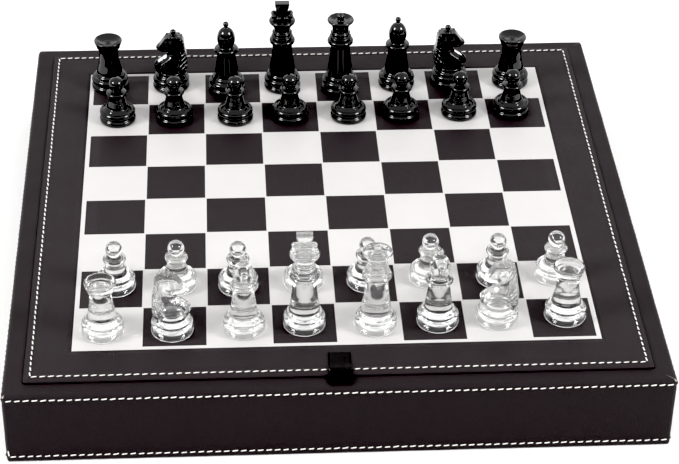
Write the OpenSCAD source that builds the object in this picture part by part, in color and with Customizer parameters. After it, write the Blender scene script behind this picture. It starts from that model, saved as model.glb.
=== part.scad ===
// Boxed chess set: a lift-out board lying in a leatherette storage case, with thirty-two glass pieces.
// Millimetres. Origin at the middle of the underside, +Z up, players sit at -Y and +Y.

/* [Board] */
// Pitch of the squares
square = 30; // [24:1:40]
// White line left between neighbouring squares
grid_line = 0.7; // [0.4:0.1:1.2]
// White border printed round the sixty-four squares
grid_border = 1.8; // [1:0.1:4]
// Plain leatherette between the white border and the edge of the board
board_margin = 21.2; // [16:0.1:40]
// Thickness of the lift-out board with its covering
board_thick = 8; // [6:0.5:12]
// How far the board stands above the rim of the case
board_proud = 1.5; // [0:0.1:3]

/* [Case] */
// Height of the rim above the table
case_height = 38; // [32:1:60]
// Thickness of a covered side wall
wall_thick = 7; // [5:0.5:12]
// Gap round the board
board_gap = 2; // [1:0.1:4]
// Thickness of the case's base board
base_thick = 3; // [2:0.5:5]
// How far the ledge stands in from a wall
ledge_width = 8; // [6:0.5:12]
// Thickness of the storage dividers
divider_thick = 4; // [3:0.5:8]

/* [Coverings] */
// Thickness of the leatherette
leatherette = 0.7; // [0.5:0.1:1.2]
// Thickness of the velvet linings
velvet = 0.8; // [0.5:0.1:1.2]
// Width of the leatherette turned under an edge
turn_in = 10; // [6:0.5:14]
// Distance of the board's stitching from the board's edge
board_stitch_inset = 3.2; // [2:0.1:6]
// Distance of the case's upper stitching below the rim
rim_stitch_drop = 2.2; // [1.5:0.1:5]
// Height of the case's lower stitching above the table
foot_stitch_height = 3.5; // [2:0.1:6]
// Width of a line of thread
thread = 0.8; // [0.5:0.1:1.2]

/* [Pull ribbon] */
// Width of the ribbon
ribbon_width = 10; // [6:0.5:16]
// How far the ribbon reaches in over the board
ribbon_reach = 15.6; // [8:0.2:18]
// How far the ribbon's loop stands out over the rim
ribbon_loop = 6; // [3:0.5:7]

/* [Pieces] */
// Radius of the base of the kings, queens, bishops, knights and rooks
base_radius = 9.8; // [8:0.1:11]
// Radius of the base of the pawns
pawn_radius = 9.5; // [8:0.1:10.5]
// Height of a king
king_height = 51.5; // [48:0.5:56]
// Height of a queen
queen_height = 46; // [43:0.5:48]
// Height of a bishop
bishop_height = 41.5; // [39:0.5:43]
// Height of a knight
knight_height = 35; // [34:0.5:36]
// Height of a rook
rook_height = 29; // [27:0.5:31]
// Height of a pawn
pawn_height = 25.6; // [24.5:0.1:27]

/* [Hidden] */
files = 8;
print_thick = 0.05;
thread_proud = 0.3;
grid_side = files * square + 2 * grid_border;
board_side = grid_side + 2 * board_margin;
inner_side = board_side + 2 * board_gap;
case_side = inner_side + 2 * wall_thick;
core_side = case_side - 2 * leatherette;
core_wall = wall_thick - 2 * leatherette;
core_inner = core_side - 2 * core_wall;
board_top = case_height + board_proud;
board_bottom = board_top - board_thick;
base_top = leatherette + base_thick;
floor_top = base_top + velvet;
ledge_inner = core_inner - 2 * ledge_width;
ledge_height = board_bottom - base_top;
divider_top = board_bottom - 1;
divider_height = divider_top - floor_top;
mitre_reach = case_side;
// How far the underside of a piece is pressed in at its middle
foot_hollow = 3;
smooth = 64;

LEATHER_BROWN = "#2b2527";
WALL_BROWN = "#5a4a3c";
VELVET_BLACK = "#16161a";
THREAD_WHITE = "#f4f1ea";
RIBBON_BLACK = "#0d0d12";
CLEAR = [0.9, 0.94, 0.95, 0.5];
BLACK_GLASS = "#0b0b0c";

// Pieces in the order of the files, from the left of the near player.
back_rank = ["rook", "knight", "bishop", "king", "queen", "bishop", "knight", "rook"];
// How far each piece stands from the middle of its square, [right, away], in whole millimetres.
clear_rank_shift = [[-3, -3], [-1, -3], [2, -3], [0, -1], [3, -3], [2, -1], [0, 0], [2, 1]];
clear_pawn_shift = [[2, 2], [1, 2], [0, 0], [1, 1], [1, 1], [1, 3], [3, 2], [1, 3]];
black_pawn_shift = [[-1, 1], [-1, 1], [1, 0], [0, 1], [1, 0], [-1, 1], [0, 1], [-2, 2]];
black_rank_shift = [[-6, 5], [-3, 4], [-3, 0], [-3, 2], [-2, -1], [-1, 2], [-2, 4], [1, 2]];
// Turn of each side's left and right knight about the upright: 0 looks to the left, 180 to the right.
clear_knight_turn = [180, 0];
black_knight_turn = [0, 180];

file_letters = ["a", "b", "c", "d", "e", "f", "g", "h"];
WOOD_NODES = ["base_board", "front_wall", "back_wall", "left_wall", "right_wall"];
COVER_NODES = ["front_cover", "back_cover", "left_cover", "right_cover"];
INSIDE_NODES = ["front_ledge", "back_ledge", "left_ledge", "right_ledge", "floor_lining",
                "long_divider", "cross_divider"];
OUTSIDE_NODES = ["base_felt", "case_stitching"];
BOARD_NODES = ["board_core", "board_cover", "board_print", "board_lining", "board_stitching", "pull_ribbon"];
CLEAR_NODES = ["clear_rook_a", "clear_knight_b", "clear_bishop_c", "clear_king", "clear_queen",
               "clear_bishop_f", "clear_knight_g", "clear_rook_h"];
BLACK_NODES = ["black_rook_a", "black_knight_b", "black_bishop_c", "black_king", "black_queen",
               "black_bishop_f", "black_knight_g", "black_rook_h"];
CLEAR_PAWNS = [for (letter = file_letters) str("clear_pawn_", letter)];
BLACK_PAWNS = [for (letter = file_letters) str("black_pawn_", letter)];

// A square plate standing on z = 0, centred on the axis.
module plate(side, thick) {
    translate([-side / 2, -side / 2, 0]) cube([side, side, thick]);
}

// A square ring standing on z = 0.
module ring(outside, inside, thick) {
    difference() {
        plate(outside, thick);
        translate([0, 0, -1]) plate(inside, thick + 2);
    }
}

// ---- Case ----

module base_board() {
    color(WALL_BROWN) translate([0, 0, leatherette]) plate(core_inner, base_thick);
}

// The core of a wall that runs from left to right along the near side.
module wall(long) {
    color(WALL_BROWN)
        translate([-long / 2, -core_side / 2, leatherette])
            cube([long, core_wall, case_height - 2 * leatherette]);
}

// Leatherette over one wall: outer face, folded over the rim and down to the ledge, and turned in
// under the base. Its ends are mitred against its neighbours.
module cover() {
    outer = case_side / 2;
    inner = inner_side / 2;
    color(LEATHER_BROWN) intersection() {
        rotate([90, 0, 90]) translate([0, 0, -outer]) linear_extrude(case_side) polygon([
            [-outer, 0],
            [-outer + turn_in, 0],
            [-outer + turn_in, leatherette],
            [-outer + leatherette, leatherette],
            [-outer + leatherette, case_height - leatherette],
            [-inner - leatherette, case_height - leatherette],
            [-inner - leatherette, board_bottom],
            [-inner, board_bottom],
            [-inner, case_height],
            [-outer, case_height]
        ]);
        linear_extrude(case_height) polygon([[0, 0], [-mitre_reach, -mitre_reach], [mitre_reach, -mitre_reach]]);
    }
}

// A ledge that runs from left to right along the inside of the near wall.
module ledge(long) {
    color(VELVET_BLACK)
        translate([-long / 2, -core_inner / 2, base_top])
            cube([long, ledge_width, ledge_height]);
}

module floor_lining() {
    color(VELVET_BLACK) translate([0, 0, base_top]) plate(ledge_inner, velvet);
}

// A divider across the storage space; slot_base is where its half-lap slot begins.
module divider(slot_base) {
    color(VELVET_BLACK) difference() {
        translate([-ledge_inner / 2, -divider_thick / 2, floor_top])
            cube([ledge_inner, divider_thick, divider_height]);
        translate([-divider_thick / 2, -divider_thick, slot_base])
            cube([divider_thick, 2 * divider_thick, divider_height / 2]);
    }
}

module base_felt() {
    color(VELVET_BLACK) plate(case_side - 2 * turn_in, leatherette);
}

// One line of thread round the outside of the four walls.
module wall_thread(height) {
    translate([0, 0, height - thread / 2]) ring(case_side + 2 * thread_proud, case_side, thread);
}

module case_stitching() {
    color(THREAD_WHITE) {
        wall_thread(case_height - rim_stitch_drop);
        wall_thread(foot_stitch_height);
    }
}

// ---- Board ----

module board_core() {
    color(WALL_BROWN)
        translate([0, 0, board_bottom + leatherette])
            plate(board_side - 2 * leatherette, board_thick - 2 * leatherette);
}

// Leatherette over the top and edges of the board, turned in underneath.
module board_cover() {
    color(LEATHER_BROWN) translate([0, 0, board_bottom]) difference() {
        plate(board_side, board_thick);
        translate([0, 0, leatherette]) plate(board_side - 2 * leatherette, board_thick - 2 * leatherette);
        translate([0, 0, -1]) plate(board_side - 2 * turn_in, leatherette + 1);
    }
}

// The white print: one plate with a hole for each black square.
module board_print() {
    dark = square - grid_line;
    color("white") translate([0, 0, board_top]) difference() {
        plate(grid_side, print_thick);
        for (file = [0 : files - 1], rank = [0 : files - 1])
            if ((file + rank) % 2 == 1)
                translate([centre(file) - dark / 2, centre(rank) - dark / 2, -1])
                    cube([dark, dark, print_thick + 2]);
    }
}

module board_lining() {
    color(VELVET_BLACK) translate([0, 0, board_bottom]) plate(board_side - 2 * turn_in, leatherette);
}

module board_stitching() {
    line = board_side - 2 * board_stitch_inset;
    color(THREAD_WHITE) translate([0, 0, board_top]) ring(line + thread, line - thread, thread_proud);
}

// The pull ribbon: glued to the near edge of the board, up through the gap, out over the rim
// and folded back over the board.
module pull_ribbon() {
    edge = -board_side / 2;
    tip = edge - ribbon_loop;
    leg = 0.7;
    thick = 0.3;
    bend = 0.4;
    slack = 0.1;
    over_board = board_top + thread_proud + print_thick;
    over_rim = case_height + slack;
    color(RIBBON_BLACK) rotate([90, 0, 90]) translate([0, 0, -ribbon_width / 2])
        linear_extrude(ribbon_width) polygon([
            [edge - leg, board_bottom + slack],
            [edge, board_bottom + slack],
            [edge, board_top],
            [edge + bend, over_board],
            [edge + ribbon_reach, over_board],
            [edge + ribbon_reach, over_board + thick],
            [edge - bend, over_board + thick],
            [tip + bend, over_rim + 2 * bend],
            [tip, over_rim + bend],
            [tip + bend / 2, over_rim],
            [edge - leg, over_rim]
        ]);
}

// ---- Pieces ----

// Middle of a square along one side of the board, counted from 0.
function centre(place) = (place - (files - 1) / 2) * square;

// Points on part of an ellipse, from one angle to another.
function arc(middle, wide, tall, from, to, steps = 6) =
    [for (i = [0 : steps]) let (a = from + (to - from) * i / steps)
        [middle[0] + wide * cos(a), middle[1] + tall * sin(a)]];

// A rounded bead that stands out from a turned shape at a height.
function bead(radius, height, half) = arc([radius - half, height], half, half, -90, 90);

// Foot of every piece: a disc hollowed beneath, a groove and a dome that ends at the stem.
function foot(radius, stem, top) = concat(
    arc([0, 0], radius - 2, foot_hollow, 90, 0),
    [[radius - 0.6, 0]],
    arc([radius - 0.6, 0.6], 0.6, 0.6, -90, 0, 3),
    arc([radius - 0.9, 2], 0.9, 0.9, 0, 75, 4),
    [[radius - 0.55, 3.1]],
    arc([stem, 5], radius - stem, top - 5.6, -12, 84, 8),
    [[stem + 0.15, top - 0.3], [stem, top]]
);

// A turned piece, standing on z = 0, from the outline of its right half.
module turned(outline) {
    rotate_extrude($fn = smooth) polygon(outline);
}

module pawn() {
    head = 4;
    turned(concat(
        foot(pawn_radius, 5.4, 9),
        [[4.5, 12.5], [4.2, 15.2]],
        bead(5.5, 16.4, 1.1),
        [[3.1, 17.7]],
        arc([0, pawn_height - head], head, head, -58, 90, 12)
    ));
}

module rook() {
    rim = 7.5;
    dish = 2.2;
    top = rook_height;
    turned(concat(
        foot(base_radius, 6.7, 10.4),
        [[5.7, 15], [5.2, 20], [5.4, top - 5.2], [6.3, top - 4.6], [6.5, top - 3.6]],
        arc([rim - 0.8, top - 0.8], 0.8, 0.8, -30, 90, 4),
        [[rim - 1.6, top - 0.3], [3.6, top - 1.6], [0, top - dish]]
    ));
}

module bishop() {
    ball = 1.5;
    ball_z = bishop_height - ball;
    turned(concat(
        foot(base_radius, 6.4, 10.6),
        [[5.7, 15.5], [5, 22], [4.9, 23]],
        bead(6.5, 24.8, 1.4),
        [[3.9, 26.4]],
        arc([0, 31.4], 4.85, 6.7, -42, 70, 12),
        [[0.9, ball_z - 1.2]],
        arc([0, ball_z], ball, ball, -50, 90, 6)
    ));
}

module queen() {
    ball = 2;
    ball_z = queen_height - ball;
    disc = ball_z - 2;
    turned(concat(
        foot(base_radius, 6.8, 11),
        [[5.8, 19], [5, 27.5]],
        bead(7, 30, 1.5),
        [[4.7, 32.2]],
        bead(5.3, 34.4, 0.8),
        [[4.3, 36.4], [4.8, disc - 3], [6.2, disc - 1.2]],
        arc([6.3, disc - 0.4], 0.8, 0.8, -45, 90, 4),
        [[5.4, disc], [3, disc - 0.8], [1.6, disc - 0.4], [1.2, ball_z - 1.5]],
        arc([0, ball_z], ball, ball, -48, 90, 6)
    ));
}

// The king's crown carries a ring of small balls and an upright block.
module king() {
    rim_z = king_height - 11;
    balls = 8;
    union() {
        turned(concat(
            foot(base_radius, 6.9, 11),
            [[5.8, 20], [5.1, 26.5]],
            bead(6.9, 29, 1.5),
            [[4.8, 31.2]],
            bead(5.4, 33.6, 0.8),
            [[4.2, 35.6], [5, 37.4], [6.3, rim_z - 1.2]],
            arc([6.2, rim_z], 1, 1.1, -30, 90, 4),
            [[5.4, rim_z + 2.4], [4.4, rim_z + 3.2], [0, rim_z + 3.6]]
        ));
        for (i = [0 : balls - 1])
            rotate([0, 0, 360 * (i + 0.5) / balls])
                translate([4.6, 0, rim_z + 3.6]) sphere(1.5, $fn = 24);
        translate([-3.2, -1.9, rim_z + 2]) cube([6.4, 3.8, king_height - rim_z - 3.6]);
        translate([-3.7, -2.3, king_height - 2.4]) cube([7.4, 4.6, 2.4]);
    }
}

horse_thick = 5.5;
horse_middle_thick = 8.6;
horse_top = 31.6;

// Side view of a horse's head, neck and chest, looking to the left.
HORSE = [
    [-6.9, 9.4], [-8, 10.8], [-8.7, 13.2], [-8.3, 15.3], [-6.1, 17.8], [-3.6, 19.5], [-1.1, 21.5],
    [-3.4, 22.2], [-5.8, 23.3], [-7.1, 23.8], [-7.6, 24.6], [-6.9, 25.5], [-5.5, 26.5], [-3, 30],
    [-1.4, 31.2], [0.6, horse_top], [4.2, horse_top], [6, 30.8], [7.1, 29.3], [7.6, 26.8], [7.9, 23.4],
    [8.7, 19], [8.9, 14.6], [8.2, 11.2], [7.2, 9.4]
];
// The thicker middle of the neck, chest and cheek.
HORSE_MIDDLE = [
    [-5, 9.4], [-6.4, 12], [-6.2, 14], [-4, 16.2], [-1, 18.4], [0.6, 21.6], [-1.2, 25], [0.6, 29],
    [3, 30], [5.2, 27.4], [6, 22], [6.8, 15.6], [5.6, 9.4]
];

module horse_layer(outline, thick) {
    rotate([90, 0, 0]) translate([0, 0, -thick / 2]) linear_extrude(thick) polygon(outline);
}

// The horse carries a small ball on a short neck.
module knight(turn) {
    ball = 1.5;
    ball_z = knight_height - ball;
    rotate([0, 0, turn]) union() {
        turned(concat(foot(base_radius, 6.9, 10), [[0, 10]]));
        horse_layer(HORSE, horse_thick);
        horse_layer(HORSE_MIDDLE, horse_middle_thick);
        translate([1.8, 0, horse_top - 1]) cylinder(ball_z - horse_top + 1, r = 1, $fn = 24);
        translate([1.8, 0, ball_z]) sphere(ball, $fn = 24);
    }
}

module piece(kind, turn) {
    if (kind == "pawn") pawn();
    if (kind == "rook") rook();
    if (kind == "bishop") bishop();
    if (kind == "queen") queen();
    if (kind == "king") king();
    if (kind == "knight") knight(turn);
}

// Puts a piece on its square, at the level of the print.
module stand(kind, file, rank, shift, turn = 0) {
    translate([centre(file) + shift[0], centre(rank) + shift[1], board_top + print_thick]) piece(kind, turn);
}

// Which knight of a side stands on this file: 0 on the left, 1 on the right.
function knight_place(file) = file < files / 2 ? 0 : 1;

base_board();
wall(core_side);  // front_wall
rotate([0, 0, 180]) wall(core_side);  // back_wall
rotate([0, 0, -90]) wall(core_inner);  // left_wall
rotate([0, 0, 90]) wall(core_inner);  // right_wall
cover();  // front_cover
rotate([0, 0, 180]) cover();  // back_cover
rotate([0, 0, -90]) cover();  // left_cover
rotate([0, 0, 90]) cover();  // right_cover
ledge(core_inner);  // front_ledge
rotate([0, 0, 180]) ledge(core_inner);  // back_ledge
rotate([0, 0, -90]) ledge(ledge_inner);  // left_ledge
rotate([0, 0, 90]) ledge(ledge_inner);  // right_ledge
floor_lining();
divider(floor_top + divider_height / 2);  // long_divider
rotate([0, 0, 90]) divider(floor_top);  // cross_divider
base_felt();
case_stitching();
board_core();
board_cover();
board_print();
board_lining();
board_stitching();
pull_ribbon();
for (file = [0 : files - 1]) {
    turn = knight_place(file);
    color(CLEAR) stand(back_rank[file], file, 0, clear_rank_shift[file], clear_knight_turn[turn]);
    color(CLEAR) stand("pawn", file, 1, clear_pawn_shift[file]);
    color(BLACK_GLASS) stand("pawn", file, 6, black_pawn_shift[file]);
    color(BLACK_GLASS) stand(back_rank[file], file, 7, black_rank_shift[file], black_knight_turn[turn]);
}
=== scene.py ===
import itertools
import math

import bpy
import numpy as np
from mathutils import Matrix, Vector, noise


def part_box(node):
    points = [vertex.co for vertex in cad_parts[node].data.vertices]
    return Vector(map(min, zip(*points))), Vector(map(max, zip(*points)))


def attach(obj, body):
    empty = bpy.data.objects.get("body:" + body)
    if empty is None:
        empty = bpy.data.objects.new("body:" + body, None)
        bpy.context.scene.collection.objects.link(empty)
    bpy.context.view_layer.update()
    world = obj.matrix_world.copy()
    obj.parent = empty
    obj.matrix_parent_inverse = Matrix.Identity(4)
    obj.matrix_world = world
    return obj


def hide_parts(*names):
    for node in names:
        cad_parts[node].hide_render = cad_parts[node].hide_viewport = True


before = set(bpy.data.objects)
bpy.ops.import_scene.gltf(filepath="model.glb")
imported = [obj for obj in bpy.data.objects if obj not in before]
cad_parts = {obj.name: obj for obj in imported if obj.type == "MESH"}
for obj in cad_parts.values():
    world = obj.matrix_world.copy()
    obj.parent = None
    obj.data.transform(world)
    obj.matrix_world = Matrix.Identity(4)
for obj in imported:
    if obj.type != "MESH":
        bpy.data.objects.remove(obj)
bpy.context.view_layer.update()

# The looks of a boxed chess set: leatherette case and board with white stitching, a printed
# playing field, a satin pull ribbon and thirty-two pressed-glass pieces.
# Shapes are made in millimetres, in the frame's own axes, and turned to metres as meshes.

MM = 0.001


def low_mm(node):
    return np.array(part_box(node)[0]) / MM


def high_mm(node):
    return np.array(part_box(node)[1]) / MM


# ---- Sizes from the frame ----
CASE_HALF = high_mm("right_cover")[0]
RIM = high_mm("front_cover")[2]
RIM_INSIDE = high_mm("left_cover")[0]
WALL = CASE_HALF + RIM_INSIDE
BOARD_HALF = high_mm("board_cover")[0]
BOARD_TOP = high_mm("board_cover")[2]
BOARD_BOTTOM = low_mm("board_cover")[2]
FIELD_HALF = high_mm("board_print")[0]
FELT_HALF = high_mm("base_felt")[0]
LINING_HALF = high_mm("board_lining")[0]
LEATHER = high_mm("base_felt")[2]

# ---- Stitching ----
STITCH_PITCH = 3.84
STITCH_LENGTH = 3.5
THREAD_RADIUS = 0.32
BOARD_STITCH_INSET = 3.2
RIM_STITCH = RIM - 2.2
FOOT_STITCH = 3.5
# How far from a corner of the case its rows of stitches end.
ROW_END = 1.3

# ---- Leather ----
# Distance from an edge at which its covering starts to turn the corner.
CASE_CORNER = 1.9
BOARD_CORNER = 2.2
# Radius of the fold over the outer edge of the rim.
RIM_FOLD = 1.7
# How deep the mitre seams of the case sink.
SEAM_SINK = 0.35


# ---------------------------------------------------------------- meshes

def new_object(name, points, faces, material, smooth=True):
    """A mesh object from points in millimetres."""
    mesh = bpy.data.meshes.new(name)
    mesh.from_pydata((np.asarray(points, float) * MM).tolist(), [], faces)
    mesh.validate()
    mesh.polygons.foreach_set("use_smooth", [smooth] * len(mesh.polygons))
    mesh.materials.append(material)
    made = bpy.data.objects.new(name, mesh)
    bpy.context.scene.collection.objects.link(made)
    return made


def finish_piece(made, body, slot, *nodes):
    """Says what a piece rides on and stands for: parents it to that body and hides those nodes. slot is not
    used.
    """
    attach(made, body)
    if nodes:
        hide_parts(*nodes)


def loft(rings, close_ring=True, close_loft=False):
    """Quads between neighbouring rings of points, numbered ring by ring."""
    count, size = rings
    across = size if close_ring else size - 1
    along = count if close_loft else count - 1
    faces = []
    for i in range(along):
        a, b = i * size, ((i + 1) % count) * size
        for j in range(across):
            k = (j + 1) % size
            faces.append((a + j, a + k, b + k, b + j))
    return faces


def lathe(outline, steps=72):
    """Points and faces of a turned shape.

    Its outline of (radius, height) starts and ends on the axis.
    """
    turns = np.linspace(0, 2 * math.pi, steps, endpoint=False)
    body = outline[1:-1]
    rings = np.stack(
        [np.outer(body[:, 0], np.cos(turns)), np.outer(body[:, 0], np.sin(turns)),
         np.repeat(body[:, 1:2], steps, axis=1)], axis=-1)
    count = len(body)
    points = np.vstack((rings.reshape(-1, 3), [[0, 0, outline[0][1]], [0, 0, outline[-1][1]]]))
    faces = loft((count, steps))
    bottom, top, last = count * steps, count * steps + 1, (count - 1) * steps
    for j in range(steps):
        k = (j + 1) % steps
        faces.append((bottom, k, j))
        faces.append((top, last + j, last + k))
    return points, faces


def even_steps(line, spacing):
    """A line of points spaced evenly along its length."""
    line = np.asarray(line, float)
    gone = np.concatenate(([0], np.cumsum(np.linalg.norm(np.diff(line, axis=0), axis=1))))
    count = max(2, int(round(gone[-1] / spacing)) + 1)
    places = np.linspace(0, gone[-1], count)
    return np.column_stack([np.interp(places, gone, line[:, i]) for i in range(line.shape[1])])


def softened(outline, spacing=0.28, passes=3):
    """An outline with its corners rounded a little, as fire-polished glass has them."""
    line = even_steps(outline, spacing)
    for _ in range(passes):
        line[1:-1] = (line[:-2] + 2 * line[1:-1] + line[2:]) / 4
    line[:, 1] -= line[:, 1].min()
    return line


def arc(middle, wide, tall, start, end, steps=10):
    """Points on part of an ellipse, from one angle to another, in degrees."""
    turns = np.radians(np.linspace(start, end, steps + 1))
    return np.column_stack((middle[0] + wide * np.cos(turns), middle[1] + tall * np.sin(turns)))


def flank(points, steps=8):
    """A smooth curve through a few points."""
    points = np.asarray(points, float)
    padded = np.vstack((2 * points[0] - points[1], points, 2 * points[-1] - points[-2]))
    line = []
    for a, b, c, d in zip(padded, padded[1:], padded[2:], padded[3:]):
        for t in np.linspace(0, 1, steps, endpoint=False):
            line.append(0.5 * (2 * b + (c - a) * t + (2 * a - 5 * b + 4 * c - d) * t ** 2
                               + (3 * b - a - 3 * c + d) * t ** 3))
    return np.array(line + [points[-1]])


# ---------------------------------------------------------------- materials

def shader_of(name, **settings):
    """A new material's node tree and its shader, with the shader's own sockets set."""
    made = bpy.data.materials.new(name)
    made.use_nodes = True
    shader = made.node_tree.nodes["Principled BSDF"]
    for socket, value in settings.items():
        shader.inputs[socket.replace("_", " ")].default_value = value
    return made, made.node_tree, shader


def add_node(tree, kind, inputs=None, **settings):
    made = tree.nodes.new("ShaderNode" + kind)
    for key, value in settings.items():
        setattr(made, key, value)
    for key, value in (inputs or {}).items():
        if isinstance(value, bpy.types.NodeSocket):
            tree.links.new(value, made.inputs[key])
        else:
            made.inputs[key].default_value = value
    return made


def place(tree):
    """Coordinates in metres that stay with the piece."""
    return add_node(tree, "TexCoord").outputs["Object"]


def speckle(tree, scale, detail=3.0, roughness=0.55):
    """Noise with about this many blotches in a metre."""
    return add_node(tree, "TexNoise", {
        "Vector": place(tree), "Scale": scale, "Detail": detail, "Roughness": roughness}).outputs["Fac"]


def blended(tree, amount, first, second):
    """One colour turning into another as amount goes from 0 to 1."""
    mixed = add_node(tree, "Mix", {0: amount}, data_type="RGBA")
    mixed.inputs[6].default_value = (*first, 1)
    mixed.inputs[7].default_value = (*second, 1)
    return mixed.outputs[2]


def ranged(tree, value, low, high, start=0.3, end=0.7):
    """Maps a value between start and end onto low to high."""
    return add_node(tree, "MapRange", {
        "Value": value, "From Min": start, "From Max": end, "To Min": low, "To Max": high}).outputs[0]


def sum_of(tree, first, second, share):
    """The first value plus a share of the second."""
    scaled = add_node(tree, "Math", {0: second, 1: share}, operation="MULTIPLY").outputs[0]
    return add_node(tree, "Math", {0: first, 1: scaled}, operation="ADD").outputs[0]


def bumped(tree, shader, height, strength, depth):
    bump = add_node(tree, "Bump", {"Height": height, "Strength": strength, "Distance": depth})
    tree.links.new(bump.outputs[0], shader.inputs["Normal"])


def pebble_grain(tree):
    """Height of embossed leather grain: rounded cells with fine wrinkles between them."""
    warp = add_node(tree, "TexNoise", {"Vector": place(tree), "Scale": 420.0, "Detail": 2.0})
    moved = add_node(tree, "VectorMath", {0: warp.outputs["Color"], 1: (0.0011, 0.0011, 0.0011)},
                     operation="MULTIPLY").outputs[0]
    bent = add_node(tree, "VectorMath", {0: place(tree), 1: moved}, operation="ADD").outputs[0]
    cell = add_node(tree, "TexVoronoi", {"Vector": bent, "Scale": 1500.0, "Randomness": 1.0},
                    feature="DISTANCE_TO_EDGE").outputs["Distance"]
    dome = add_node(tree, "MapRange", {"Value": cell, "From Max": 0.28},
                    interpolation_type="SMOOTHSTEP").outputs[0]
    return sum_of(tree, dome, speckle(tree, 5200.0, 2.0), 0.45)


def leatherette(name, painted_shade):
    """Embossed brown-black leatherette, paler along its sharp edges; painted_shade darkens it all as painted
    shade.
    """
    made, tree, shader = shader_of(name, Specular_IOR_Level=0.16)
    shade = speckle(tree, 55.0, 4.0)
    grain = pebble_grain(tree)
    dark = Vector((0.0325, 0.0283, 0.03))
    light = Vector((0.04, 0.0347, 0.037))
    # painted_shade below 1 darkens the whole colour as painted shade.
    ground = blended(tree, shade, dark * painted_shade, light * painted_shade)
    # Paler along sharp convex edges, where the mesh's pointiness is high.
    sharpness = add_node(tree, "NewGeometry").outputs["Pointiness"]
    edge = ranged(tree, sharpness, 0.0, 0.55, 0.515, 0.6)
    tinted = add_node(tree, "Mix", {0: edge, 6: ground}, data_type="RGBA")
    tinted.inputs[7].default_value = (0.054, 0.047, 0.05, 1)
    tree.links.new(tinted.outputs[2], shader.inputs["Base Color"])
    gloss = ranged(tree, sum_of(tree, shade, grain, 0.2), 0.42, 0.6, 0.3, 0.9)
    tree.links.new(gloss, shader.inputs["Roughness"])
    bumped(tree, shader, grain, 0.5, 0.00012)
    return made


def printed_white():
    made, tree, shader = shader_of("white_print", IOR=1.48)
    ground = blended(tree, speckle(tree, 40.0, 3.0), (0.525, 0.512, 0.508), (0.578, 0.564, 0.56))
    tree.links.new(ground, shader.inputs["Base Color"])
    tree.links.new(ranged(tree, speckle(tree, 220.0), 0.4, 0.52), shader.inputs["Roughness"])
    bumped(tree, shader, pebble_grain(tree), 0.16, 0.00008)
    return made


def white_thread():
    made, tree, shader = shader_of("thread", Sheen_Weight=0.3, Sheen_Roughness=0.5)
    ground = blended(tree, speckle(tree, 900.0), (0.74, 0.72, 0.68), (0.9, 0.885, 0.85))
    tree.links.new(ground, shader.inputs["Base Color"])
    tree.links.new(ranged(tree, speckle(tree, 3000.0), 0.55, 0.8), shader.inputs["Roughness"])
    bumped(tree, shader, speckle(tree, 9000.0, 2.0), 0.4, 0.00005)
    return made


def cloth_backing():
    """Pale woven backing of the leatherette, seen where its cut ends meet."""
    made, tree, shader = shader_of("cloth_backing", Sheen_Weight=0.2)
    ground = blended(tree, speckle(tree, 1400.0), (0.3, 0.28, 0.26), (0.62, 0.59, 0.55))
    tree.links.new(ground, shader.inputs["Base Color"])
    tree.links.new(ranged(tree, speckle(tree, 2600.0), 0.75, 0.95), shader.inputs["Roughness"])
    bumped(tree, shader, speckle(tree, 4000.0), 0.5, 0.00008)
    return made


def satin():
    """Black ribbon satin: fine ribs across it and a soft shine."""
    made, tree, shader = shader_of(
        "satin_ribbon", Sheen_Weight=0.03, Sheen_Roughness=0.35, Specular_IOR_Level=0.2)
    ribs = add_node(tree, "TexWave", {
        "Vector": place(tree), "Scale": 1500.0, "Distortion": 1.2, "Detail": 1.0, "Detail Scale": 2.0},
        bands_direction="Y").outputs["Fac"]
    ground = blended(tree, ribs, (0.004, 0.0034, 0.0036), (0.01, 0.0088, 0.0092))
    tree.links.new(ground, shader.inputs["Base Color"])
    tree.links.new(ranged(tree, speckle(tree, 700.0), 0.32, 0.5), shader.inputs["Roughness"])
    bumped(tree, shader, ribs, 0.35, 0.00006)
    return made


def pile(name, dark, light, sheen):
    """Velvet or felt: short fibres with brushed patches."""
    made, tree, shader = shader_of(name, Sheen_Weight=sheen, Sheen_Roughness=0.45)
    brushed = add_node(tree, "TexNoise", {
        "Vector": place(tree), "Scale": 38.0, "Detail": 5.0, "Distortion": 1.4}).outputs["Fac"]
    fibre = speckle(tree, 3600.0, 4.0, 0.7)
    ground = blended(tree, sum_of(tree, brushed, fibre, 0.35), dark, light)
    tree.links.new(ground, shader.inputs["Base Color"])
    tree.links.new(ranged(tree, fibre, 0.8, 1.0), shader.inputs["Roughness"])
    bumped(tree, shader, fibre, 0.7, 0.00025)
    return made


def fibreboard():
    made, tree, shader = shader_of("fibreboard")
    fibre = add_node(tree, "TexNoise", {
        "Vector": place(tree), "Scale": 900.0, "Detail": 6.0, "Roughness": 0.75,
        "Distortion": 0.6}).outputs["Fac"]
    ground = blended(tree, fibre, (0.17, 0.105, 0.055), (0.36, 0.25, 0.15))
    tree.links.new(ground, shader.inputs["Base Color"])
    tree.links.new(ranged(tree, fibre, 0.7, 0.9), shader.inputs["Roughness"])
    bumped(tree, shader, fibre, 0.4, 0.0002)
    return made


def clear_glass():
    """Pressed clear glass: polished at the foot, slightly hazy and uneven above it."""
    made, tree, shader = shader_of(
        "clear_glass", Transmission_Weight=1.0, IOR=1.5, Base_Color=(0.99, 0.995, 0.99, 1))
    wave = add_node(tree, "TexNoise", {"Vector": place(tree), "Scale": 150.0, "Detail": 1.5}).outputs["Fac"]
    rise = add_node(tree, "SeparateXYZ", {0: place(tree)}).outputs["Z"]
    haze = ranged(tree, rise, 0.01, 0.1, 0.009, 0.015)
    tree.links.new(sum_of(tree, haze, wave, 0.05), shader.inputs["Roughness"])
    bumped(tree, shader, wave, 0.16, 0.0008)
    return made


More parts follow.
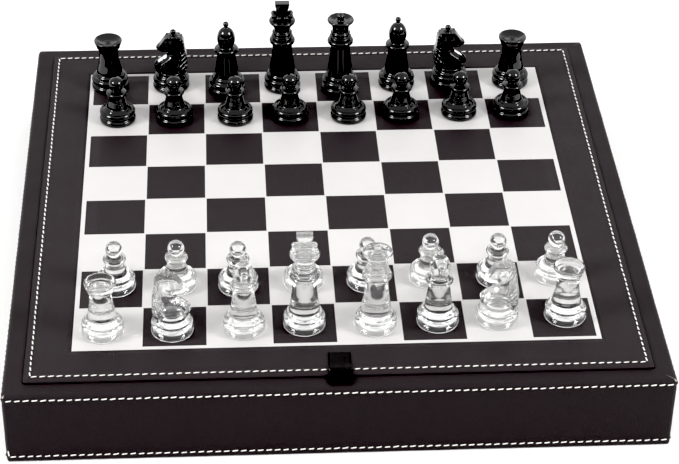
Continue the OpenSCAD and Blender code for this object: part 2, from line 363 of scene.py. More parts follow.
def black_glass():
    made, tree, shader = shader_of("black_glass", IOR=1.6)
    wave = add_node(tree, "TexNoise", {"Vector": place(tree), "Scale": 130.0, "Detail": 1.0}).outputs["Fac"]
    ground = blended(tree, wave, (0.009, 0.009, 0.0091), (0.013, 0.013, 0.0132))
    tree.links.new(ground, shader.inputs["Base Color"])
    tree.links.new(ranged(tree, wave, 0.02, 0.05), shader.inputs["Roughness"])
    bumped(tree, shader, wave, 0.05, 0.0006)
    return made


LID_LEATHER = leatherette("lid_leatherette", 1.0)
# The case's covers are the lid's leatherette painted darker: painted shade for walls and rim that get less
# light than the lid.
CASE_LEATHER_PAINTED_SHADE = leatherette("case_leatherette_painted_shade", 0.86)
WHITE_PRINT = printed_white()
THREAD = white_thread()
BACKING = cloth_backing()
SATIN = satin()
VELVET = pile("velvet", (0.006, 0.006, 0.009), (0.02, 0.02, 0.027), 0.8)
FELT = pile("felt", (0.012, 0.011, 0.012), (0.035, 0.033, 0.034), 0.25)
FIBREBOARD = fibreboard()
CLEAR_GLASS = clear_glass()
BLACK_GLASS = black_glass()


# ---------------------------------------------------------------- leather folds

def pucker(along, off_line, first, pitch):
    """How deep the thread draws the leather in: a shallow channel with a needle hole at each end."""
    channel = 0.16 * np.exp(-(off_line / 0.75) ** 2)
    from_hole = (along - first + pitch / 2) % pitch - pitch / 2
    holes = 0.34 * np.exp(-(off_line / 0.42) ** 2 - (from_hole / 0.5) ** 2)
    swell = 0.09 * np.exp(-((np.abs(off_line) - 1.9) / 0.9) ** 2)
    return channel + holes - swell


def ripple(points, size, seed):
    """Gentle unevenness, the same each run."""
    return np.array([noise.noise(Vector(p) / size + Vector((seed, 0, 0))) for p in points.reshape(-1, 3)])


def stitch_count(length):
    return int(round(length / STITCH_PITCH))


def folded_side(half, section, corner, rows, quarter, lift_seam, seed):
    """Points of leather wrapped over one side of a square, mitred to its neighbours.

    section is a closed line of (depth in from the side, height). rows are (depth or None, height or
    None) of the lines of thread. Ring by ring along the side; quarter turns it to its place.
    """
    section = np.asarray(section, float)
    depth, height = section[:, 0], section[:, 1]
    inset = np.maximum(corner, depth + 0.15)
    radius = inset - depth
    pitch = 2 * half / stitch_count(2 * half)
    samples = np.linspace(-1, 1, int(round(2 * half / (pitch / 6))) + 1)
    turns = np.radians([9, 18, 27, 36, 45])
    rings = []
    for turn in -turns[::-1]:
        rings.append((-(half - inset) + radius * np.sin(turn), -(half - inset) - radius * np.cos(turn)))
    for s in samples:
        rings.append((s * (half - inset), -(half - inset) - radius))
    for turn in turns:
        rings.append(((half - inset) + radius * np.sin(turn), -(half - inset) - radius * np.cos(turn)))
    x = np.array([r[0] for r in rings])
    y = np.array([r[1] for r in rings])
    z = np.repeat(height[None, :], len(rings), axis=0)
    points = np.stack((x, y, z), axis=-1)
    # Outward direction across the section, from its neighbours along the closed line.
    step = np.roll(section, -1, axis=0) - np.roll(section, 1, axis=0)
    outward = np.column_stack((step[:, 1], -step[:, 0]))
    outward /= np.linalg.norm(outward, axis=1)[:, None]
    # The unevenness dies out where the covering lies flat under the print or against the board.
    calm = np.clip((depth.max() - depth) / 5, 0, 1)
    push = 0.1 * calm * ripple(points, 14.0, seed).reshape(len(rings), -1)
    for row_depth, row_height in rows:
        off = height - row_height if row_depth is None else depth - row_depth
        on_face = np.abs(depth) < 0.6 if row_depth is None else height > row_height - 0.6
        first = ROW_END - half if row_depth is None else row_depth - half
        row_pitch = -2 * first / stitch_count(-2 * first)
        push -= np.where(on_face, pucker(x, off[None, :], first, row_pitch), 0)
    # A mitre seam sinks where the cut ends of the covering meet.
    to_seam = np.abs(np.abs(x) - np.abs(y)) / math.sqrt(2)
    seam = lift_seam * np.exp(-(to_seam / 0.5) ** 2) * np.clip(outward[:, 1], 0, 1)[None, :]
    push -= seam
    points[..., 1] += push * outward[None, :, 0]
    points[..., 2] += push * outward[None, :, 1]
    spin = np.array(Matrix.Rotation(quarter * math.pi / 2, 3, "Z"))
    return points @ spin.T


def case_section():
    """Closed line round the leather on a case wall: from under the base, over the rim and back inside."""
    tuck = CASE_HALF - FELT_HALF
    foot_fold, inner_fold = 1.5, 1.3
    outside = np.vstack((
        [[tuck, 0], [5, 0]],
        arc((foot_fold, foot_fold), foot_fold, foot_fold, 270, 180, 5),
        np.column_stack((np.zeros(9), FOOT_STITCH + np.linspace(-1.6, 2.8, 9))),
        np.column_stack((np.zeros(7), np.linspace(9, RIM_STITCH - 4.5, 7))),
        np.column_stack((np.zeros(7), RIM_STITCH + np.linspace(-2.8, 0.4, 7))),
        arc((RIM_FOLD, RIM - RIM_FOLD), RIM_FOLD, RIM_FOLD, 180, 90, 7),
        np.column_stack((np.linspace(2.6, WALL - 2.2, 4), np.full(4, RIM))),
        arc((WALL - inner_fold, RIM - inner_fold), inner_fold, inner_fold, 90, 0, 5),
        [[WALL, RIM - 3.5], [WALL, BOARD_BOTTOM]],
    ))
    inside = np.array([
        [WALL - LEATHER, BOARD_BOTTOM], [WALL - LEATHER, RIM - LEATHER - 0.9],
        [WALL - LEATHER - 0.9, RIM - LEATHER], [LEATHER + 0.9, RIM - LEATHER],
        [LEATHER, RIM - LEATHER - 0.9], [LEATHER, LEATHER + 0.9], [LEATHER + 0.9, LEATHER], [tuck, LEATHER]])
    return np.vstack((outside, inside))


def case_cover(name, quarter):
    rows = [(None, RIM_STITCH), (None, FOOT_STITCH)]
    seed = 7.3 * (quarter + 1)
    points = folded_side(CASE_HALF, case_section(), CASE_CORNER, rows, quarter, SEAM_SINK, seed)
    count, size = points.shape[:2]
    faces = [f[::-1] for f in loft((count, size))]
    faces.append(tuple(range(size)))
    faces.append(tuple(range((count - 1) * size, count * size))[::-1])
    made = new_object(name + "_leather", points.reshape(-1, 3), faces, CASE_LEATHER_PAINTED_SHADE)
    finish_piece(made, "case", "leatherette", name)


def case_covers():
    for quarter, node in enumerate(("front_cover", "right_cover", "back_cover", "left_cover")):
        case_cover(node, quarter)


def board_section():
    """Closed line round the leather along an edge of the board, from its turned-in end to the field."""
    reach = BOARD_HALF - FIELD_HALF + 1
    tuck = BOARD_HALF - LINING_HALF
    top_fold, foot_fold = 1.5, 1.0
    top = np.vstack((
        [[tuck, BOARD_BOTTOM], [3.5, BOARD_BOTTOM]],
        arc((foot_fold, BOARD_BOTTOM + foot_fold), foot_fold, foot_fold, 270, 180, 4),
        [[0, BOARD_BOTTOM + 3], [0, BOARD_TOP - 2.8]],
        arc((top_fold, BOARD_TOP - top_fold), top_fold, top_fold, 180, 90, 6),
        np.column_stack((BOARD_STITCH_INSET + np.linspace(-1.1, 2.9, 9), np.full(9, BOARD_TOP))),
        np.column_stack((np.linspace(8.5, reach, 5), np.full(5, BOARD_TOP))),
    ))
    under = np.array([
        [reach, BOARD_TOP - LEATHER], [LEATHER + 0.9, BOARD_TOP - LEATHER],
        [LEATHER, BOARD_TOP - LEATHER - 0.9], [LEATHER, BOARD_BOTTOM + LEATHER],
        [tuck, BOARD_BOTTOM + LEATHER]])
    return np.vstack((top, under))


def board_leather():
    """The board's covering: one loop of folded edge and a flat field under the print."""
    section = board_section()
    rows = [(BOARD_STITCH_INSET, BOARD_TOP)]
    sides = [folded_side(BOARD_HALF, section, BOARD_CORNER, rows, quarter, 0.0, 3.1 * (quarter + 1))
             for quarter in range(4)]
    size = len(section)
    points = np.vstack([side[:-1].reshape(-1, 3) for side in sides])
    faces = [f[::-1] for f in loft((len(points) // size, size), close_loft=True)]
    half = FIELD_HALF - 1
    base = len(points)
    cells = 32
    grid = np.linspace(-half, half, cells + 1)
    for height in (BOARD_TOP, BOARD_TOP - LEATHER):
        x, y = np.meshgrid(grid, grid, indexing="ij")
        points = np.vstack((points, np.column_stack((x.ravel(), y.ravel(), np.full(x.size, height)))))
    row = cells + 1
    for i, j in itertools.product(range(cells), repeat=2):
        a = base + i * row + j
        face = (a, a + row, a + row + 1, a + 1)
        faces.append(face)
        faces.append(tuple(v + row * row for v in face[::-1]))
    rim = ([i * row for i in range(cells)] + [cells * row + j for j in range(cells)]
           + [i * row + cells for i in range(cells, 0, -1)] + list(range(cells, 0, -1)))
    for a, b in zip(rim, rim[1:] + rim[:1]):
        faces.append((base + a, base + a + row * row, base + b + row * row, base + b))
    made = new_object("board_leather", points, faces, LID_LEATHER)
    finish_piece(made, "board", "leatherette", "board_cover")


def mitre_backings():
    """Slivers of pale backing cloth that show where the rim's coverings meet at a corner."""
    points, faces = [], []
    along = np.linspace(0.6, WALL - 1.2, 14)
    for corner in range(4):
        rings = []
        for depth in along:
            share = 1 - (depth - along[0]) / (along[-1] - along[0])
            wide = 0.1 + 0.38 * share
            sink = 0.24 - 0.2 * share
            drop = max(0.0, RIM_FOLD - depth)
            height = RIM - sink - (RIM_FOLD - math.sqrt(max(0.0, RIM_FOLD ** 2 - drop ** 2)))
            across = np.array([math.sqrt(0.5), -math.sqrt(0.5)])
            middle = np.array([-(CASE_HALF - depth), -(CASE_HALF - depth)])
            for side, rise in ((-1, -0.25), (0, 0.1), (1, -0.25), (0, -0.6)):
                rings.append((*(middle + side * wide * across), height + rise))
        spin = np.array(Matrix.Rotation(corner * math.pi / 2, 3, "Z"))
        base = len(points)
        points.extend((np.array(rings) @ spin.T).tolist())
        count = len(along)
        faces.extend(tuple(base + v for v in f) for f in loft((count, 4)))
        faces.append(tuple(base + v for v in (3, 2, 1, 0)))
        faces.append(tuple(base + (count - 1) * 4 + v for v in (0, 1, 2, 3)))
    made = new_object("mitre_backing", points, faces, BACKING)
    finish_piece(made, "case", "leatherette")


# ---------------------------------------------------------------- stitches

def one_stitch(length):
    """A twisted two-ply stitch along X, arched over z = 0 with its ends drawn under."""
    sides, rings = 10, 12
    turns = np.linspace(0, 2 * math.pi, sides, endpoint=False)
    points = []
    for i in range(rings + 1):
        t = i / rings
        x = (t - 0.5) * length
        rise = 0.16 - 0.62 * abs(2 * t - 1) ** 5
        thick = THREAD_RADIUS * (0.45 + 0.55 * math.sin(math.pi * min(1, max(0, 0.06 + 0.88 * t))) ** 0.45)
        twist = 2.6 * math.pi * t
        for turn in turns:
            lobe = thick * (0.86 + 0.2 * abs(math.cos(turn - twist)))
            points.append((x, lobe * math.cos(turn), rise + 0.85 * lobe * math.sin(turn)))
    faces = loft((rings + 1, sides))
    faces.append(tuple(range(sides))[::-1])
    faces.append(tuple(range(rings * sides, (rings + 1) * sides)))
    return np.array(points), faces


def thread_rows(name, rows, body, nodes):
    """One mesh with all the stitches of rows: (middle, direction along the row, way out) for each."""
    shape, shape_faces = one_stitch(STITCH_LENGTH)
    points, faces = [], []
    rng = np.random.default_rng(len(rows))
    for middle, along, out in rows:
        slant = math.radians(7.5 + rng.normal(0, 1.2))
        across = np.cross(out, along)
        turned_along = math.cos(slant) * along + math.sin(slant) * across
        turned_across = np.cross(out, turned_along)
        grow = 1 + rng.normal(0, 0.03)
        axes = np.array([turned_along * grow, turned_across, out])
        base = len(points) * len(shape)
        points.append(shape @ axes + middle + across * rng.normal(0, 0.05))
        faces.extend(tuple(base + v for v in f) for f in shape_faces)
    made = new_object(name, np.vstack(points), faces, THREAD)
    finish_piece(made, body, "thread", *nodes)


def square_row(half, place_at, out_of):
    """Stitches along the four sides of a square, from each side's left end as seen from outside."""
    row = []
    count = stitch_count(2 * half)
    pitch = 2 * half / count
    for quarter in range(4):
        spin = np.array(Matrix.Rotation(quarter * math.pi / 2, 3, "Z"))
        for i in range(count):
            middle = spin @ place_at(-half + (i + 0.5) * pitch)
            row.append((middle, spin @ np.array([1.0, 0, 0]), spin @ out_of))
    return row


def board_stitches():
    half = BOARD_HALF - BOARD_STITCH_INSET
    row = square_row(half, lambda x: np.array([x, -half, BOARD_TOP]), np.array([0, 0, 1.0]))
    thread_rows("board_thread", row, "board", ["board_stitching"])


def corner_stitches():
    """The stitch that ends the foot row, turned up beside each corner."""
    row = []
    for quarter in range(4):
        spin = np.array(Matrix.Rotation(quarter * math.pi / 2, 3, "Z"))
        middle = np.array([ROW_END - CASE_HALF, 0.12 - CASE_HALF, FOOT_STITCH + STITCH_LENGTH / 2 - 0.2])
        out = np.array([-0.32, -0.95, 0])
        row.append((spin @ middle, np.array([0, 0, 1.0]), spin @ (out / np.linalg.norm(out))))
    return row


def case_stitches():
    outward = np.array([0, -1.0, 0])
    for name, height in (("rim_thread", RIM_STITCH), ("foot_thread", FOOT_STITCH)):
        row = square_row(CASE_HALF - ROW_END, lambda x: np.array([x, -CASE_HALF, height]), outward)
        if name == "foot_thread":
            row += corner_stitches()
        thread_rows(name, row, "case", ["case_stitching"])


# ---------------------------------------------------------------- ribbon

def pull_ribbon():
    """Satin ribbon, glued to the board's near edge, looped out over the rim and laid back on the board."""
    low, high = low_mm("pull_ribbon"), high_mm("pull_ribbon")
    width = high[0] - low[0]
    edge = -BOARD_HALF
    over = BOARD_TOP + 0.75
    tip = low[1]
    route = flank([
        (edge - 0.45, BOARD_BOTTOM + 0.5), (edge - 0.5, BOARD_TOP - 3), (edge - 1.1, RIM - 0.6),
        (edge - 2.6, RIM + 0.25), (tip + 1.2, RIM + 0.3), (tip + 0.25, RIM + 0.75), (tip + 1.1, RIM + 1.25),
        (edge - 1.6, BOARD_TOP + 0.35), (edge + 0.6, over), (edge + 3.3, over + 0.12), (edge + 7, over - 0.3),
        (high[1] - 3, BOARD_TOP + 0.35), (high[1], BOARD_TOP + 0.3)], 6)
    route = even_steps(route, 0.3)
    slope = np.gradient(route, axis=0)
    slope /= np.linalg.norm(slope, axis=1)[:, None]
    normal = np.column_stack((-slope[:, 1], slope[:, 0]))
    across = np.linspace(-width / 2, width / 2, 25)
    thick = 0.16
    # Woven edges are a little thicker than the middle.
    selvedge = 0.05 * np.exp(-((np.abs(across) - width / 2 + 0.25) / 0.3) ** 2)
    cup = 0.05 * (across / (width / 2)) ** 2
    points = []
    for place_on, out in zip(route, normal):
        top = [(x, *(place_on + out * (thick + s + c))) for x, s, c in zip(across, selvedge, cup)]
        bottom = [(x, *(place_on + out * (c - s))) for x, s, c in zip(across, selvedge, cup)]
        points.extend(top + bottom[::-1])
    size = 2 * len(across)
    faces = loft((len(route), size))
    faces.append(tuple(range(size))[::-1])
    faces.append(tuple(range((len(route) - 1) * size, len(route) * size)))
    made = new_object("satin_ribbon", points, faces, SATIN)
    finish_piece(made, "board", "satin_ribbon", "pull_ribbon")


# ---------------------------------------------------------------- turned pieces

def bead(radius, height, half):
    """A rounded bead that stands out from a turned shape."""
    return arc((radius - half, height), half, half, -90, 90)


# How far the underside of a piece is pressed in at its middle.
HOLLOW = 3.0


def foot(radius, stem, top):
    """Foot of every piece: a hollowed disc, a groove, a bulge and a shoulder that ends in a fillet."""
    rise = (top - 5.2) / 5.8
    shoulder = 5.2 + 3.2 * rise
    spread = stem + 0.2
    return np.vstack((
        arc((0, 0), radius - 2.1, HOLLOW, 90, 4),
        [[radius - 1.9, 0], [radius - 0.8, 0]],
        arc((radius - 0.8, 0.8), 0.8, 0.8, -90, 0),
        arc((radius - 1, 1.9), 1, 1, 0, 84),
        [[radius - 0.85, 3.1]],
        arc((radius - 2.2, 5.2), 2.1, 2.0, -62, 66),
        flank([(radius - 1.45, 7.0 * rise + 5.2 * (1 - rise)), (spread + 1.15, shoulder - 0.2)]),
        arc((spread - 0.1, shoulder), 1.1, 1.0 * rise, 12, 78),
        flank([(spread + 0.05, shoulder + 1.2 * rise), (stem + 0.08, top - 0.7), (stem, top + 0.4)]),
    ))


def pawn_outline():
    head = 4
    return np.vstack((
        foot(9.5, 5.4, 9),
        flank([(4.55, 12.4), (4.2, 15)]),
        bead(5.5, 16.4, 1.1),
        [[3.4, 17.55], [3.2, 17.8]],
        arc((0, 25.6 - head), head, head, -58, 90, 24),
    ))


def rook_outline():
    rim, top = 7.5, 29
    return np.vstack((
        foot(9.8, 6.7, 10.4),
        flank([(5.75, 15), (5.25, 19.5), (5.2, 22.5), (5.4, top - 5.1)]),
        flank([(6.2, top - 4.7), (6.45, top - 3.4), (rim - 0.25, top - 1.5)]),
        arc((rim - 0.7, top - 0.7), 0.7, 0.7, -30, 90),
        flank([(rim - 1.3, top - 0.5), (4.6, top - 1.5), (2.6, top - 2.3)]),
        [[2.3, top - 1.95], [1.9, top - 1.95], [1.6, top - 2.4]],
        arc((0, top - 2.3), 1.0, 0.75, 0, 90),
    ))


def bishop_outline():
    ball, top = 1.55, 41.5
    return np.vstack((
        foot(9.8, 6.4, 10.6),
        flank([(5.7, 15.5), (5.05, 21), (4.95, 23.2)]),
        bead(6.5, 24.8, 1.35),
        [[4.2, 26.3], [3.9, 26.7]],
        arc((0, 31.4), 4.85, 6.7, -40, 74, 26),
        [[1.0, top - 2 * ball - 0.1]],
        arc((0, top - ball), ball, ball, -52, 90, 14),
    ))


def queen_outline():
    ball, top = 2.0, 46
    disc = 42.1
    return np.vstack((
        foot(9.8, 6.8, 11),
        flank([(5.8, 19), (5.1, 27)]),
        bead(7, 29.6, 1.5),
        [[4.9, 31.4]],
        bead(6.0, 32.2, 0.6),
        [[4.6, 33.2]],
        bead(5.3, 34.6, 0.9),
        flank([(4.35, 36), (4.5, 38), (5.4, 40.2), (6.3, 41.2)]),
        arc((6.35, disc), 0.8, 0.8, -50, 90),
        flank([(5.5, disc + 0.45), (3.4, disc - 0.5), (1.9, disc - 0.35)]),
        [[1.35, disc + 0.2]],
        arc((0, top - ball), ball, ball, -44, 90, 16),
    ))


def king_outline():
    rim = 40.5
    return np.vstack((
        foot(9.8, 6.9, 11),
        flank([(5.85, 19.5), (5.15, 26.3)]),
        bead(6.9, 28.8, 1.5),
        [[4.9, 30.6]],
        bead(5.9, 31.3, 0.6),
        [[4.6, 32.3]],
        bead(5.4, 33.7, 0.9),
        flank([(4.2, 35.2), (4.6, 36.8), (5.7, 38.6), (6.5, 39.6)]),
        arc((6.1, rim), 0.95, 1.1, -40, 90),
        flank([(5.2, rim + 1.5), (4.3, rim + 1.8), (0, rim + 2)]),
    ))


# ---------------------------------------------------------------- moulded shapes

def distance_to_outline(outline, x, z):
    """Signed distance to a closed outline, below 0 inside."""
    nearest = np.full(x.shape, np.inf)
    inside = np.zeros(x.shape, bool)
    for (ax, az), (bx, bz) in zip(outline, np.roll(outline, -1, axis=0)):
        dx, dz = bx - ax, bz - az
        t = np.clip(((x - ax) * dx + (z - az) * dz) / (dx * dx + dz * dz), 0, 1)
        nearest = np.minimum(nearest, (x - ax - t * dx) ** 2 + (z - az - t * dz) ** 2)
        if az != bz:
            crosses = ((az > z) != (bz > z)) & (x < ax + (z - az) * dx / dz)
            inside ^= crosses
    return np.where(inside, -1, 1) * np.sqrt(nearest)


def slab(flat, across, half, rounding):
    """Distance to a flat shape's slab: flat is its distance in the plane, half its half thickness."""
    a, b = flat + rounding, np.abs(across) - half + rounding
    outside = np.sqrt(np.maximum(a, 0) ** 2 + np.maximum(b, 0) ** 2)
    return outside + np.minimum(np.maximum(a, b), 0) - rounding


def ball(x, y, z, middle, radius):
    return np.sqrt((x - middle[0]) ** 2 + (y - middle[1]) ** 2 + (z - middle[2]) ** 2) - radius


def melted(first, second, reach):
    """Two shapes run together with a fillet of about this reach."""
    share = np.clip(0.5 + 0.5 * (second - first) / reach, 0, 1)
    return second + (first - second) * share - reach * share * (1 - share)


def crossings(field, axis):
    """Where a surface crosses between neighbouring samples along an axis.

    Gives whether it does, how far along, and whether the first sample is inside.
    """
    near = np.take(field, range(field.shape[axis] - 1), axis)
    far = np.take(field, range(1, field.shape[axis]), axis)
    there = (near < 0) != (far < 0)
    gap = np.where(there, near - far, 1)
    return there, np.where(there, near / gap, 0), near < 0


def skin(distance, low, high, cell):
    """The surface where a distance field is 0, as points and quads (surface nets)."""
    axes = [np.arange(low[i], high[i] + cell, cell) for i in range(3)]
    field = distance(*np.meshgrid(*axes, indexing="ij"))
    cells = tuple(n - 1 for n in field.shape)
    total, hits = np.zeros((*cells, 3)), np.zeros(cells)
    index = np.stack(np.meshgrid(*[np.arange(n) for n in cells], indexing="ij"), axis=-1)
    found = [crossings(field, axis) for axis in range(3)]
    for axis in range(3):
        there, share, _ = found[axis]
        others = [a for a in range(3) if a != axis]
        for offsets in itertools.product((0, 1), repeat=2):
            cut = [slice(0, cells[a]) for a in range(3)]
            for a, o in zip(others, offsets):
                cut[a] = slice(o, o + cells[a])
            on = there[tuple(cut)]
            spot = index.astype(float)
            spot[..., axis] += share[tuple(cut)]
            for a, o in zip(others, offsets):
                spot[..., a] += o
            total += np.where(on[..., None], spot, 0)
            hits += on
    used = hits > 0
    number = np.full(cells, -1)
    number[used] = np.arange(used.sum())
    points = np.array(low) + cell * total[used] / hits[used][:, None]
    faces = []
    for axis in range(3):
        there, _, starts_inside = found[axis]
        b, c = (axis + 1) % 3, (axis + 2) % 3
        for spot in np.argwhere(there):
            if spot[b] == 0 or spot[c] == 0:
                continue
            ring = []
            for db, dc in ((-1, -1), (0, -1), (0, 0), (-1, 0)):
                at = spot.copy()
                at[b] += db
                at[c] += dc
                ring.append(int(number[tuple(at)]))
            faces.append(tuple(ring if starts_inside[tuple(spot)] else ring[::-1]))
    for _ in range(2):
        points = points - surface_step(distance, points, cell / 2)
    return points, faces


def surface_step(distance, points, reach):
    """From points near a surface, the step away from it."""
    here = distance(*points.T)
    slope = np.stack([
        (distance(*(points + reach * way).T) - distance(*(points - reach * way).T)) / (2 * reach)
        for way in np.eye(3)], axis=-1)
    return slope * (here / np.maximum((slope ** 2).sum(1), 0.25))[:, None]


# Side view of the horse's head, neck and chest, looking to the left.
HORSE = flank([
    (-6.8, 8.2), (-8.1, 10.8), (-8.7, 13.2), (-8.3, 15.3), (-6.1, 17.8), (-3.6, 19.5), (-1.1, 21.5),
    (-3.4, 22.2), (-5.8, 23.3), (-7.1, 23.8), (-7.6, 24.6), (-6.9, 25.5), (-5.5, 26.5), (-3.0, 30),
    (-1.4, 31.2), (0.6, 31.6), (4.2, 31.6), (6, 30.8), (7.1, 29.3), (7.6, 26.8), (7.9, 23.4),
    (8.7, 19), (8.9, 14.6), (8.2, 11.2), (6.9, 8.2)], 4)
# Front edge of the mane, from the bottom up.
MANE = flank([
    (3.2, 11.5), (4.2, 15.4), (5.1, 18.8), (4.9, 21.4), (4.3, 22.9), (5.5, 25), (6, 27), (5.2, 29.4),
    (3.6, 31)])


def horse(x, y, z):
    """Distance to the moulded horse above the foot of a knight."""
    outline = distance_to_outline(HORSE, x, z)
    low_down = np.clip((22 - z) / 9, 0, 1)
    # The chest slopes from a ridge in front to its sides, and the muzzle is round as seen from above.
    chest = np.clip((3 - x) / 5, 0, 1) * np.clip((23 - z) / 3, 0, 1)
    muzzle = np.clip((-4.5 - x) / 3, 0, 1) * (z > 22)
    inward = np.clip(-outline / 2.8, 0, 1)
    half = 2.75 + 1.5 * low_down - 2.9 * chest * (1 - inward ** 1.5) - 1.6 * muzzle ** 2
    head = slab(outline, y, half, 0.6)
    # The cheek and the middle of the neck are fuller.
    cheek = ball(x, y * 1.25, z / 1.25, (1.2, 0, 26.2 / 1.25), 4.1)
    head = melted(head, cheek * 0.8, 0.8)
    # The mane stands proud behind a curved edge and is cut by slanting grooves.
    behind = x - np.interp(z, MANE[:, 1], MANE[:, 0])
    mane = slab(np.maximum(outline, -behind), y, half + 0.7, 0.3)
    groove = np.cos((z - x) * 2 * math.pi / 2.5)
    mane = mane + 0.5 * np.clip(groove, -0.1, 1) * np.clip((behind - 0.3) / 0.9, 0, 1)
    shape = melted(head, mane, 0.2)
    # The forelock is a row of small curls under the ball on top.
    for i, side in itertools.product(range(5), (-1, 1)):
        curl = ball(x, y, z, (-1.4 + 1.5 * i, side * 2.3, 31 - 0.15 * abs(i - 2)), 0.95)
        shape = melted(shape, curl, 0.3)
    # The crown swells to a short neck under the ball.
    crown = ball(x, y * 1.2, z, (1.8, 0, 29.2), 3.1)
    shape = melted(shape, crown, 1.2)
    return melted(shape, ball(x, y, z, (1.8, 0, 33.5), 1.55), 0.5)


def king_crown(x, y, z):
    """Distance to the ring of small balls and the upright block on the king's crown."""
    around = np.sqrt(x * x + y * y)
    core = np.maximum(around - 4.3, np.abs(z - 42) - 1.6)
    shape = core
    for i in range(8):
        turn = 2 * math.pi * (i + 0.5) / 8
        bead_at = (4.75 * math.cos(turn), 4.75 * math.sin(turn), 44.1)
        shape = melted(shape, ball(x, y, z, bead_at, 1.5), 0.35)
    flare = np.clip((z - 47.5) / 3, 0, 1)
    flat = np.maximum(np.abs(x) - (3.1 + 0.7 * flare), np.abs(z - 46.25) - 5.2)
    return melted(shape, slab(flat, y, 2.0 + 0.3 * flare, 0.45), 0.3)


# ---------------------------------------------------------------- pieces

def joined(first, second, material, name):
    """One closed mesh from two that overlap."""
    cutter = new_object("joined_with", *second, material)
    made = new_object(name, *first, material)
    union = made.modifiers.new("union", "BOOLEAN")
    union.operation = "UNION"
    union.solver = "EXACT"
    union.object = cutter
    mesh = bpy.data.meshes.new_from_object(made.evaluated_get(bpy.context.evaluated_depsgraph_get()))
    for spent in (made, cutter):
        bpy.data.objects.remove(spent)
    mesh.name = name
    mesh.polygons.foreach_set("use_smooth", [True] * len(mesh.polygons))
    return mesh


def plain_mesh(outline, name):
    made = new_object(name, *lathe(softened(outline)), CLEAR_GLASS)
    mesh = made.data
    bpy.data.objects.remove(made)
    return mesh


def knight_mesh():
    outline = np.vstack((foot(9.8, 6.9, 10), [[6.6, 10.6], [5.5, 10.9], [0, 11]]))
    body = skin(horse, (-10, -7, 8), (10, 7, 36), 0.3)
    return joined(lathe(softened(outline)), body, CLEAR_GLASS, "knight")


def king_mesh():
    crown = skin(king_crown, (-7.5, -7.5, 39), (7.5, 7.5, 52.5), 0.25)
    return joined(lathe(softened(king_outline())), crown, CLEAR_GLASS, "king")


def glass_meshes():
    """One mesh for each kind of piece, in clear and in black glass."""
    clear = {
        "pawn": plain_mesh(pawn_outline(), "pawn"),
        "rook": plain_mesh(rook_outline(), "rook"),
        "bishop": plain_mesh(bishop_outline(), "bishop"),
        "queen": plain_mesh(queen_outline(), "queen"),
        "king": king_mesh(),
        "knight": knight_mesh(),
    }
    black = {}
    for kind, mesh in clear.items():
        black[kind] = mesh.copy()
        black[kind].materials.clear()
        black[kind].materials.append(BLACK_GLASS)
    return {"clear": clear, "black": black}


FILES = {"rook": "ah", "knight": "bg", "bishop": "cf"}
# Which knights look to the right.
TURNED = ("clear_knight_b", "black_knight_g")


def piece_nodes(side):
    for kind, letters in FILES.items():
        for letter in letters:
            yield f"{side}_{kind}_{letter}", kind
    yield f"{side}_king", "king"
    yield f"{side}_queen", "queen"
    for letter in "abcdefgh":
        yield f"{side}_pawn_{letter}", "pawn"


def set_out_pieces():
    meshes = glass_meshes()
    for side in ("clear", "black"):
        for node, kind in piece_nodes(side):
            low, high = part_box(node)
            made = bpy.data.objects.new(node + "_glass", meshes[side][kind])
            bpy.context.scene.collection.objects.link(made)
            made.location = ((low.x + high.x) / 2, (low.y + high.y) / 2, low.z)
            made.rotation_euler.z = math.pi if node in TURNED else 0
            finish_piece(made, node, f"{side}_glass", node)


# ---------------------------------------------------------------- carried-over nodes

def dress(material, *nodes):
    for node in nodes:
        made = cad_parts[node]
        made.data.materials.clear()
        made.data.materials.append(material)


def soften_edges(width, *nodes):
    """Rounds the edges of cloth-covered strips."""
    for node in nodes:
        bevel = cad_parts[node].modifiers.new("soft_edge", "BEVEL")
        bevel.width = width * MM
        bevel.segments = 3
        bevel.limit_method = "ANGLE"


def dress_frame():
    dress(FIBREBOARD, "base_board", "front_wall", "back_wall", "left_wall", "right_wall", "board_core")
    dress(VELVET, "front_ledge", "back_ledge", "left_ledge", "right_ledge", "floor_lining",
          "long_divider", "cross_divider", "board_lining")
    dress(FELT, "base_felt")
    dress(WHITE_PRINT, "board_print")
    soften_edges(0.8, "long_divider", "cross_divider")


# ---------------------------------------------------------------- studio

def floor():
    half = 6000
    points = [(-half, -half, 0), (half, -half, 0), (half, half, 0), (-half, half, 0)]
    made, tree, shader = shader_of("studio_floor", Roughness=0.9)
    ground = blended(tree, speckle(tree, 3.0), (0.87, 0.87, 0.865), (0.9, 0.9, 0.895))
    tree.links.new(ground, shader.inputs["Base Color"])
    shader.inputs["Specular IOR Level"].default_value = 0.1
    new_object("floor", points, [(0, 1, 2, 3)], made)


def softbox(name, direction, distance, width, height, power):
    """A flat light, in metres and watts, that faces the board from a direction."""
    data = bpy.data.lights.new(name, "AREA")
    data.shape = "RECTANGLE"
    data.size, data.size_y = width, height
    data.energy = power
    lamp = bpy.data.objects.new(name, data)
    bpy.context.scene.collection.objects.link(lamp)
    way = Vector(direction).normalized()
    lamp.location = Vector((0, 0, BOARD_TOP * MM)) + distance * way
    lamp.rotation_mode = "QUATERNION"
    lamp.rotation_quaternion = way.to_track_quat("Z", "Y")
    lamp.visible_camera = False


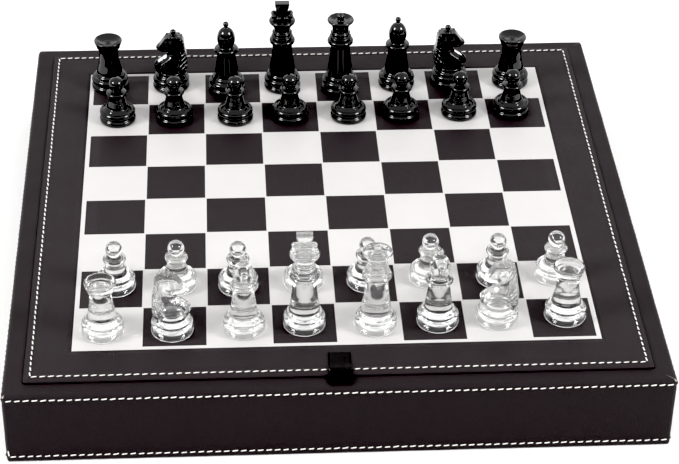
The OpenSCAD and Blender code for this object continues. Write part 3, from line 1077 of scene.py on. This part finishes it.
def studio_light():
    box_away, box_side, box_power = 1.5, 0.47, 15.3
    softbox("left_box", (-0.772, -0.29, 0.566), box_away, box_side, box_side, box_power)
    softbox("right_box", (0.729, -0.386, 0.566), box_away, box_side, box_side, box_power)
    softbox("back_panel", (0.0, 0.9, 0.42), 2.2, 2.4, 0.9, 5)
    white_surround(0.95, 0.22)


def white_surround(around, near_side):
    """A white tent all round, darker low down on the camera's side."""
    world = bpy.data.worlds.new("studio")
    bpy.context.scene.world = world
    world.use_nodes = True
    tree = world.node_tree
    way = add_node(tree, "TexCoord").outputs["Generated"]
    parts = add_node(tree, "SeparateXYZ", {0: way}).outputs
    low_down = ranged(tree, parts["Y"], near_side, around, -0.7, 0.1)
    strength = ranged(tree, parts["Z"], low_down, around, 0.1, 0.6)
    shade = tree.nodes["Background"]
    shade.inputs["Color"].default_value = (1, 1, 1, 1)
    tree.links.new(strength, shade.inputs["Strength"])


CAMERA_PLACE = (-0.05129, -0.91591, 0.66244)
CAMERA_AZIMUTH = 3.672
CAMERA_DIP = 35.117
CAMERA_ROLL = 0.895
CAMERA_LENS = 116.72


def camera():
    """Looks across the board from the near side, from a little left of its middle."""
    data = bpy.data.cameras.new("camera")
    data.sensor_width = 36
    data.lens = CAMERA_LENS
    eye = bpy.data.objects.new("camera", data)
    bpy.context.scene.collection.objects.link(eye)
    eye.location = CAMERA_PLACE
    eye.rotation_mode = "QUATERNION"
    look = (Matrix.Rotation(math.radians(-CAMERA_AZIMUTH), 4, "Z")
            @ Matrix.Rotation(math.radians(90 - CAMERA_DIP), 4, "X")
            @ Matrix.Rotation(math.radians(CAMERA_ROLL), 4, "Z"))
    eye.rotation_quaternion = look.to_quaternion()
    bpy.context.scene.camera = eye


BLACK_LEVEL = 0.045


def camera_response():
    """A plain response with deep blacks, as product photographs are printed."""
    view = bpy.context.scene.view_settings
    view.view_transform = "Standard"
    view.use_curve_mapping = True
    view.curve_mapping.black_level = (BLACK_LEVEL, BLACK_LEVEL, BLACK_LEVEL)
    view.curve_mapping.update()


camera_response()
camera()
studio_light()
floor()
dress_frame()
case_covers()
mitre_backings()
board_leather()
board_stitches()
case_stitches()
pull_ribbon()
set_out_pieces()
